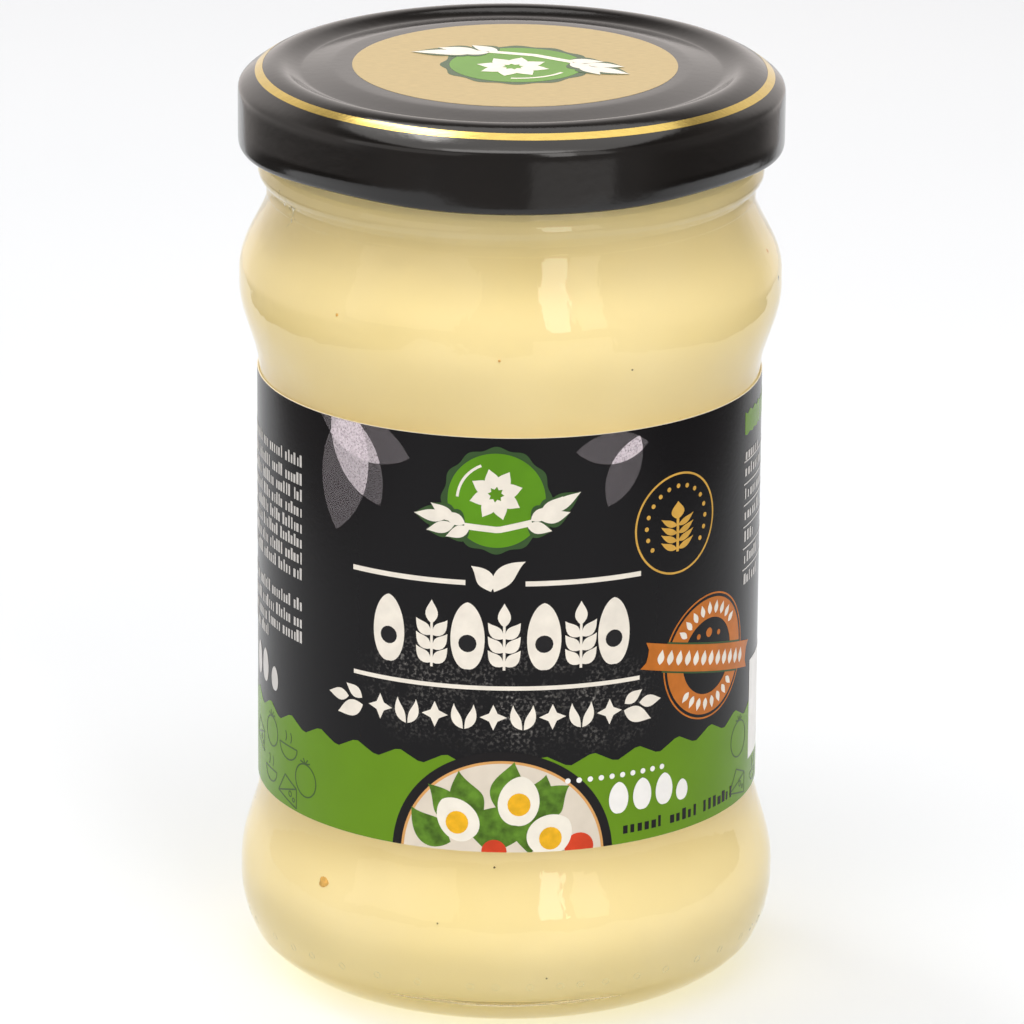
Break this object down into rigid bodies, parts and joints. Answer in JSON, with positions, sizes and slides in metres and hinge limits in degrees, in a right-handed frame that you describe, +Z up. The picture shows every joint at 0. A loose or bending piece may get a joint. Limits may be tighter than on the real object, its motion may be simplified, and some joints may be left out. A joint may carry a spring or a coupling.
{
  "type": "mayonnaise jar",
  "caption": "Shut waisted glass jar of mayonnaise with a black twist-off lid and a dark paper label round its straight panel.",
  "frame": {"origin": "centre of the contact ring on the jar's underside, at the level it stands on", "axes": "+Z up along the jar's axis, the front of the label faces -Y"},
  "size_m": [0.069, 0.069, 0.1189],
  "materials": {
    "clear_glass": "clear soda-lime glass with a faint olive tint, gloss",
    "mayonnaise": "smooth cream, soft gloss",
    "lacquered_tinplate": "black gloss lacquer on tinplate with a gold printed ring and disc",
    "label_paper": "coated paper printed near-black and green, satin"
  },
  "bodies": {
    "root": {"glass_jar": "clear_glass", "mayonnaise": "mayonnaise", "lid": "lacquered_tinplate", "label": "label_paper"}
  },
  "joints": []
}
